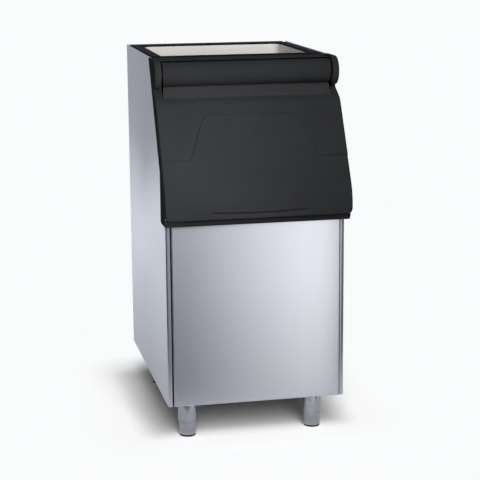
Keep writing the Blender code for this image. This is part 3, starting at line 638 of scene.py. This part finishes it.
# The liner: a white moulded tank with wide rounded inner corners, a dished floor edge and a thin
# lip that stands up round the top opening.
white_plastic = finish("white_plastic", lambda tree: placed(tree, moulded_skin, Grain=260, Cloud=4),
                       ((0.61, 0.585, 0.56), (0.67, 0.645, 0.62)), (0.5, 0.4), 0.00002,
                       edge=(0.4, (0.72, 0.70, 0.68)), dust=(0.25, (0.50, 0.47, 0.43)), specular=0.4)
tank_half, tank_front, tank_rear, tank_floor = 0.228, 0.045, 0.661, 0.075
tank_corner, near = 0.024, 0.0006
bm = softened("liner", 0.0003, steps=1)
corner = []
for edge in bm.edges:
    one, two = (vert.co - Vector((0, cabinet_front, underside)) for vert in edge.verts)
    inside = all(abs(point.x) < tank_half + near and tank_front - near < point.y < tank_rear + near
                 and point.z > tank_floor - near for point in (one, two))
    upright = all(abs(abs(point.x) - tank_half) < near and abs(point.y - tank_rear) < near
                  for point in (one, two))
    along_floor = all(abs(point.z - tank_floor) < near and (abs(abs(point.x) - tank_half) < near
                      or abs(point.y - tank_rear) < near or abs(point.y - tank_front) < near)
                      for point in (one, two))
    if inside and (upright or along_floor) and (one - two).length > 0.05:
        corner.append(edge)
rounded(bm, corner, tank_corner, 7, clamped=True)
fitted(bm, "ice_tank", "cabinet", white_plastic, "white_plastic", "liner")

opening_front, opening_rear = 0.262, 0.661
lip_middle, lip_height, lip_gap = 0.9948, 0.0596, 0.0004
bm = plain_block((0, cabinet_front + (opening_front + opening_rear) / 2, underside + lip_middle),
                 (2 * tank_half - lip_gap, opening_rear - opening_front - lip_gap, lip_height))
bmesh.ops.delete(bm, geom=[face for face in bm.faces if abs(face.normal.z) > 0.5], context="FACES_ONLY")
rear_posts = [edge for edge in bm.edges if len(edge.link_faces) == 2
              and all(vert.co.y > cabinet_front + 0.6 for vert in edge.verts)]
rounded(bm, rear_posts, tank_corner, 7)
bmesh.ops.recalc_face_normals(bm, faces=bm.faces[:])
widest = max(bm.faces, key=lambda face: abs(face.calc_center_median().x))
if widest.normal.x * widest.calc_center_median().x < 0:
    bmesh.ops.reverse_faces(bm, faces=bm.faces[:])
lip = solid_object(bm, "tank_lip")
given_wall(lip, 0.0010, 0.0003)
lip.data.materials.append(white_plastic)
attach(lip, "cabinet")


# The drain: a white moulded outlet through the tank's floor, held by a nylon nut under the base,
# with a perforated steel strainer lying over it.
nylon = finish("nylon", lambda tree: placed(tree, moulded_skin, Grain=500, Cloud=9),
               ((0.50, 0.49, 0.45), (0.60, 0.59, 0.55)), (0.5, 0.4), 0.00002,
               edge=(0.4, (0.70, 0.69, 0.66)), dust=(0.3, (0.35, 0.33, 0.30)), specular=0.35)
drain_behind = 0.560
drain = Vector((0, cabinet_front + drain_behind, underside))
spout = ([(0.0110, 0.0783)] + roll((0.0278, 0.0771), 0.0012, 90, 0, 4)
         + [(0.0290, 0.0753), (0.0155, 0.0753), (0.0155, 0.0010), (0.0150, 0.0005)]
         + [(0.0155 - 0.0006 * (turn % 2), -0.0075 - 0.0011 * turn) for turn in range(20)]
         + roll((0.0145, -0.0330), 0.0010, 0, -90, 3) + [(0.0110, -0.0340), (0.0110, 0.0783)])
fitted(turned_piece(spout, drain), "drain_spout", "cabinet", white_plastic, "white_plastic",
       "drain_outlet")
fitted(softened("drain_nut", 0.0009, 3), "drain_ring_nut", "cabinet", nylon, "nylon", "drain_nut")
fitted(softened("drain_strainer", 0.0003, 2), "drain_grid", "cabinet", polished, "polished_steel",
       "drain_strainer")


# The top rim: a black moulded frame round the opening, with a black sealing tape on it for the
# ice maker that stands on the bin.
# Painted shade: the rim's black is darker than the frame's black plastic, whose slot it shares, and
# stands for shade on the rim.
rim_black_shaded = finish("rim_black_shaded", lambda tree: placed(tree, moulded_skin, Grain=1200, Cloud=8),
                   ((0.0055, 0.0055, 0.0066), (0.0085, 0.0085, 0.0100)), (0.85, 0.75), 0.00005,
                   edge=(0.5, (0.03, 0.03, 0.036)), dust=(0.05, (0.08, 0.08, 0.08)), specular=0.08)
fitted(softened("top_rim", 0.0006), "rim_frame", "cabinet", rim_black_shaded, "black_plastic", "top_rim")
fitted(softened("rim_tape", 0.0009, 3), "rim_seal", "cabinet", dark_rubber, "rubber", "rim_tape")


# The fixed frame round the door: two end mouldings, each with an ear that holds the hinge, the
# sill under the door and the hood strip behind the hinge barrel, all of black moulded plastic.
black_plastic = finish("black_plastic", lambda tree: placed(tree, moulded_skin),
                       ((0.0170, 0.0176, 0.0185), (0.0200, 0.0206, 0.0216)), (0.74, 0.66), 0.00006,
                       edge=(0.35, (0.055, 0.056, 0.058)), dust=(0.012, (0.10, 0.10, 0.097)),
                       specular=0.003)
nose_start, nose_height, nose_slope = 0.040, 0.5735, 0.72
cheek_face = 0.2789


def lean_back(bm):
    """Draws the lower front edge under, as the nose of the frame turns back below the door."""
    for vert in bm.verts:
        if vert.co.y < cabinet_front - nose_start:
            vert.co.y += nose_slope * max(0, underside + nose_height - vert.co.z)


for word in ("left", "right"):
    bm = softened("cheek_" + word, 0.0030, 5, keep=lambda vert: abs(vert.co.x) > cheek_face)
    lean_back(bm)
    fitted(bm, "end_moulding_" + word, "cabinet", black_plastic, "black_plastic", "cheek_" + word)
bm = softened("sill_bar", 0.0010, 3)
lean_back(bm)
fitted(bm, "sill_moulding", "cabinet", black_plastic, "black_plastic", "sill_bar")
hood_half, hood_overlap = 0.2599, 0.0015
bm = softened("hood_bar", 0)
for vert in bm.verts:
    if abs(abs(vert.co.x) - hood_half) < 0.0002:
        vert.co.x += math.copysign(hood_overlap, vert.co.x)
fitted(bm, "hood_strip", "cabinet", black_plastic, "black_plastic", "hood_bar")


# The hinge: a ground steel pin in each ear, and a black nylon bearing block that turns on it in
# each end of the door's barrel.
hinge_behind, hinge_height = 0.134, 0.9845
hinge = Vector((cabinet_front + hinge_behind, underside + hinge_height))
black_nylon = finish("black_nylon", lambda tree: placed(tree, moulded_skin),
                     ((0.009, 0.009, 0.010), (0.012, 0.012, 0.013)), (0.60, 0.50), 0.00004,
                     edge=(0.3, (0.04, 0.04, 0.042)), dust=(0.02, (0.10, 0.10, 0.097)), specular=0.1)
for side, word in ((-1, "left"), (1, "right")):
    inner, outer = 0.2412, 0.2752
    pin = [(0, inner), (0.0044, inner), (0.0050, inner + 0.0006), (0.0050, outer - 0.0006),
           (0.0044, outer), (0, outer)]
    block = [(0.0053, 0.2538), (0.0312, 0.2538), (0.0316, 0.2534), (0.0316, 0.2413),
             (0.0312, 0.2409), (0.0280, 0.2409), (0.0276, 0.2440), (0.0100, 0.2440),
             (0.0096, 0.2409), (0.0053, 0.2409), (0.0053, 0.2538)]
    for profile, name, body, finish_used, slot, node_name in (
            (pin, "pivot_pin_", "cabinet", polished, "polished_steel", "hinge_pin_"),
            (block, "bearing_block_", "door", black_nylon, "nylon", "door_bearing_")):
        bm = turned_piece(profile, (0, 0, 0), 40)
        bmesh.ops.transform(bm, verts=bm.verts[:],
                            matrix=Matrix.Translation((0, hinge.x, hinge.y))
                            @ Matrix.Rotation(math.radians(side * 90), 4, "Y"))
        fitted(bm, name + word, body, finish_used, slot, node_name + word)


# The door: a black moulded pan, 27 mm deep, with a raised upper field that ends in a hat-shaped
# step, a lip like a smile over the finger space, and soft rims. It is drawn flat and wrapped
# over the door's side view, then hooked over its foam core and inner panel.
door_half = 0.280
door_depth = 0.027
door_foot = Vector((cabinet_front - 0.063, underside + 0.577))
knee = Vector((cabinet_front - 0.063, underside + 0.640))
shoulder = Vector((cabinet_front + 0.0883, underside + 0.9108))
door_head = Vector((cabinet_front + 0.1322, underside + 0.9340))
knee_radius = 0.150
shoulder_radius = 0.060


def door_face(along):
    """The place and the outward direction on the door's face, a length up from its lower edge."""
    corners = [door_foot, knee, shoulder, door_head]
    heading = (knee - door_foot).normalized()
    place = door_foot
    for corner, after, radius in ((knee, shoulder, knee_radius), (shoulder, door_head, shoulder_radius)):
        onward = (after - corner).normalized()
        turn = heading.angle(onward)
        tangent = radius * math.tan(turn / 2)
        straight = (corner - place).length - tangent
        if along <= straight:
            break
        along -= straight
        place = corner - heading * tangent
        inward = Vector((heading.y, -heading.x))
        middle = place + inward * radius
        if along <= radius * turn:
            swung = Matrix.Rotation(-along / radius, 2) @ -inward
            return middle + swung * radius, swung
        along -= radius * turn
        place = corner + onward * tangent
        heading = onward
    return place + heading * along, Vector((-heading.y, heading.x))


def door_length():
    """Length of the door's face from its lower edge to its head."""
    total = (knee - door_foot).length + (shoulder - knee).length + (door_head - shoulder).length
    for before, corner, after, radius in ((door_foot, knee, shoulder, knee_radius),
                                          (knee, shoulder, door_head, shoulder_radius)):
        turn = (corner - before).angle(after - corner)
        total -= radius * (2 * math.tan(turn / 2) - turn)
    return total


face_length = door_length()


def up_the_face(height):
    """Length up the door's face to a height over the cabinet's underside."""
    low, high = 0, face_length
    for _ in range(40):
        middle = (low + high) / 2
        low, high = (middle, high) if door_face(middle)[0].y < underside + height else (low, middle)
    return low


hat_rise = 0.0036
hat_right = [(door_half, up_the_face(0.746)), (0.200, up_the_face(0.746)), (0.195, up_the_face(0.7475)),
             (0.1915, up_the_face(0.752)), (0.151, up_the_face(0.848)), (0.144, up_the_face(0.8605)),
             (0.1345, up_the_face(0.8665)), (0.124, up_the_face(0.868))]
hat_line = [(-x, v) for x, v in hat_right] + hat_right[::-1]
hat_slant = 0.0011
hat_margin = 0.005


def above_hat(x, along):
    """How far a point of the flat door lies above the hat line, less than 0 below it."""
    nearest, side = 1, 1
    for (x0, v0), (x1, v1) in zip(hat_line, hat_line[1:]):
        span = Vector((x1 - x0, v1 - v0))
        off = Vector((x - x0, along - v0))
        share = min(max(off.dot(span) / span.length_squared, 0), 1)
        gap = (off - span * share).length
        if gap < nearest:
            nearest, side = gap, (1 if span.x * off.y - span.y * off.x > 0 else -1)
    return nearest * side


smile_half = 0.162
smile_depth = 0.0058
smile_sag = 0.0055
smile_low = up_the_face(0.5985)
smile_swell = 0.0012
smile_undercut = 0.0062


def eased(amount):
    """0 to 1, with a soft start and end."""
    amount = min(max(amount, 0), 1)
    return amount * amount * (3 - 2 * amount)


def smile_relief(x, along):
    """The finger lip: the face comes forward to a curved line, and falls back under it."""
    share = abs(x) / smile_half
    if share >= 1:
        return 0
    line = smile_low + smile_sag * share ** 2
    over = along - line
    fade = eased(min(1, (1 - share) * 4))
    if over >= 0:
        return -smile_swell * fade * eased(over / 0.009) * (1 - eased((over - 0.009) / 0.025))
    if over > -smile_undercut:
        return -smile_depth * fade * eased(-over / smile_undercut)
    return -smile_depth * fade * (1 - eased((-over - smile_undercut) / 0.0125))


bm = bmesh.new()
line = [bm.verts.new((x, v, 0)) for x, v in hat_line]
chain = [bm.edges.new(pair) for pair in zip(line, line[1:])]
for reach in (0, face_length):
    grown = bmesh.ops.extrude_edge_only(bm, edges=chain)["geom"]
    for vert in grown:
        if isinstance(vert, bmesh.types.BMVert):
            vert.co.y = reach
bmesh.ops.remove_doubles(bm, verts=bm.verts[:], dist=0.000001)
step_edges = [edge for edge in bm.edges if len(edge.link_faces) == 2
              and all(any((v.co.xy - Vector(p)).length < 0.00001 for p in hat_line) for v in edge.verts)]
rounded(bm, step_edges, hat_margin, 3)
lower_corners = [vert for vert in bm.verts if abs(vert.co.x) > door_half - 0.001 and vert.co.y < 0.0001]
bmesh.ops.bevel(bm, geom=lower_corners, offset=0.015, offset_type="OFFSET", segments=7, profile=0.5,
                affect="VERTICES", material=-1)


def sliced(bm, direction, distances):
    """Cuts a mesh through at distances along a direction, and keeps all of it."""
    for distance in distances:
        bmesh.ops.bisect_plane(bm, geom=bm.verts[:] + bm.edges[:] + bm.faces[:], dist=0.0000001,
                               plane_co=direction * distance, plane_no=direction)


def spaced(low, high, count):
    """Even distances from low to high, with both ends."""
    return [low + (high - low) * step / count for step in range(count + 1)]


knee_start = 0.0239
knee_end = knee_start + 0.0764
shoulder_end = face_length - 0.0319
shoulder_start = shoulder_end - 0.0344
rows = spaced(0.0068, smile_low - 0.0015, 8) + spaced(smile_low, smile_low + 0.009, 6)
rows += spaced(smile_low + 0.012, knee_end, 10) + spaced(knee_end + 0.03, shoulder_start - 0.01, 6)
rows += spaced(shoulder_start, shoulder_end, 10) + [face_length - 0.02, face_length - 0.006]
sliced(bm, Vector((0, 1, 0)), rows)
sliced(bm, Vector((1, 0, 0)), spaced(-0.164, 0.164, 40) + [-0.27, -0.22, 0.22, 0.27])

behind = bmesh.ops.extrude_face_region(bm, geom=bm.faces[:], use_keep_orig=True)["geom"]
bmesh.ops.translate(bm, verts=[v for v in behind if isinstance(v, bmesh.types.BMVert)],
                    vec=(0, 0, -door_depth))
bmesh.ops.recalc_face_normals(bm, faces=bm.faces[:])
back = [face for face in bm.faces if abs(face.calc_center_median().z + door_depth) < 0.00001]
bmesh.ops.inset_region(bm, faces=back, thickness=0.003, use_boundary=True, use_even_offset=True)
bmesh.ops.translate(bm, verts=list({v for face in back for v in face.verts}), vec=(0, 0, 0.0021))


def rim_edges(bm, height):
    """The edges round a flat side at a height, between it and its walls."""
    return [edge for edge in bm.edges if len(edge.link_faces) == 2
            and all(abs(v.co.z - height) < 0.00001 for v in edge.verts)
            and edge.calc_face_angle() > 1]


for height, size, steps in ((0, 0.0062, 6), (-door_depth, 0.0008, 2)):
    rounded(bm, rim_edges(bm, height), size, steps)

smile_reach, skin_depth = 0.02, 0.006
for vert in bm.verts:
    x, along, depth = vert.co
    share = min(abs(x) / smile_half, 1)
    along += smile_sag * share ** 2 * max(0, 1 - abs(along - smile_low) / smile_reach)
    if depth > -skin_depth:
        lift = hat_rise * eased((above_hat(x, along) + hat_slant) / (2 * hat_slant))
        depth += lift * (1 - eased((along - shoulder_start) / (shoulder_end - shoulder_start)))
        depth += smile_relief(x, along)
    place, out = door_face(along)
    vert.co = (x, place.x + out.x * depth, place.y + out.y * depth)
fitted(bm, "door_shell", "door", black_plastic, "black_plastic", "door_outer_shell")


# Behind the door's face: its foam core, a white moulded inner panel, and a soft black gasket
# that closes on the liner and the sill.
core_share, core_foot, core_raised = 0.98, 0.590, 0.006
pocket_half, pocket_height, pocket_depth, pocket_slope = 0.1405, 0.600, 0.0066, 0.0016
bm = softened("door_core", 0.0006, 2)
core_front = min(vert.co.y for vert in bm.verts)
sliced(bm, Vector((1, 0, 0)), (-0.168, -0.142, 0.142, 0.168))
sliced(bm, Vector((0, 0, 1)), (underside + pocket_height, underside + 0.612, underside + 0.640))
for vert in bm.verts:
    vert.co.x *= core_share
    if vert.co.z < underside + core_foot:
        vert.co.z += core_raised
    if vert.co.y < core_front + 0.004 and abs(vert.co.x) < pocket_half:
        over = vert.co.z - underside - pocket_height
        vert.co.y += pocket_depth if over < 0.0005 else pocket_slope if over < 0.0125 else 0
fitted(bm, "door_foam", "door", foam, "insulation_foam", "door_core")
fitted(softened("door_back_panel", 0.0008, 3), "door_inner_panel", "door", white_plastic,
       "white_plastic", "door_back_panel")
fitted(softened("door_gasket", 0.0018, 4), "door_seal", "door", dark_rubber, "rubber", "door_gasket")


# The hinge barrel: a half-round moulding along the door's head, which turns between the ears and
# runs down to the face in a soft hollow. A step along its top leaves room for the hood strip.
barrel_radius, barrel_wall, barrel_half = 0.039, 0.0055, 0.2542
bulge, bulge_radius = hinge + Vector((0, 0.0015)), 0.0375
step_down, step_start, step_at = 0.0035, 82, 116
wall_start, wall_end, shelf = 262, 112, 0.003
neck_lean, hollow_radius = math.radians(2.5), 0.009
neck_up = (door_head - shoulder).normalized()
neck_out = Vector((-neck_up.y, neck_up.x))


def arc(centre, radius, angles):
    """Points round a centre at angles in degrees."""
    return [centre + Vector((math.cos(math.radians(a)), math.sin(math.radians(a)))) * radius
            for a in angles]


def hollow_onto(start, up, out, radius):
    """The barrel's front line, from its step down, through a hollow, onto a straight line below."""
    foot = (bulge - start).dot(up)
    off = (bulge - start).dot(out)
    reach = math.sqrt((bulge_radius + radius) ** 2 - (radius - off) ** 2)
    centre = start + up * (foot - reach) + out * radius
    first = math.degrees(math.atan2((centre - bulge).y, (centre - bulge).x)) % 360
    line = arc(bulge, bulge_radius, spaced(step_at, first, 26))
    begin = (first + 180) % 360
    end = math.degrees(math.atan2(-out.y, -out.x)) % 360
    if end > begin:
        end -= 360
    last = start + up * (foot - reach)
    return (line + arc(centre, radius, spaced(begin, end, 14)[1:])
            + [last.lerp(start, share) for share in (0.25, 0.5, 0.75, 1.0)])


lean = Matrix.Rotation(neck_lean, 2)
run_foot = shoulder + neck_up * 0.006 - neck_out * 0.0001
front = hollow_onto(run_foot, lean @ neck_up, lean @ neck_out, hollow_radius)
low_end = front[-1] + neck_up * 0.003 - neck_out * 0.0012
outline = (arc(hinge, barrel_radius - step_down, spaced(step_start, step_at - 2, 5))
           + front + [low_end]
           + arc(hinge, barrel_radius - barrel_wall, spaced(wall_start, wall_end, 15))
           + arc(hinge, barrel_radius - step_down - shelf, spaced(110, step_start, 4)))

bm = bmesh.new()
rings = []
for x in (spaced(-barrel_half, -0.215, 10) + spaced(-0.205, 0.205, 8)
          + spaced(0.215, barrel_half, 10)):
    ring = [bm.verts.new((x, point.x, point.y)) for point in outline]
    rings.append([bm.edges.new(pair) for pair in zip(ring, ring[1:] + ring[:1])])
for one, two in zip(rings, rings[1:]):
    bmesh.ops.bridge_loops(bm, edges=one + two)
for ring in (rings[0], rings[-1]):
    bmesh.ops.contextual_create(bm, geom=ring)
rims = [edge for ring in (rings[0], rings[-1]) for edge in ring[5:32]]
bmesh.ops.recalc_face_normals(bm, faces=bm.faces[:])
rounded(bm, rims, 0.0015, 3, clamped=True)
fitted(bm, "hinge_barrel", "door", black_plastic, "black_plastic", "door_hinge_barrel")
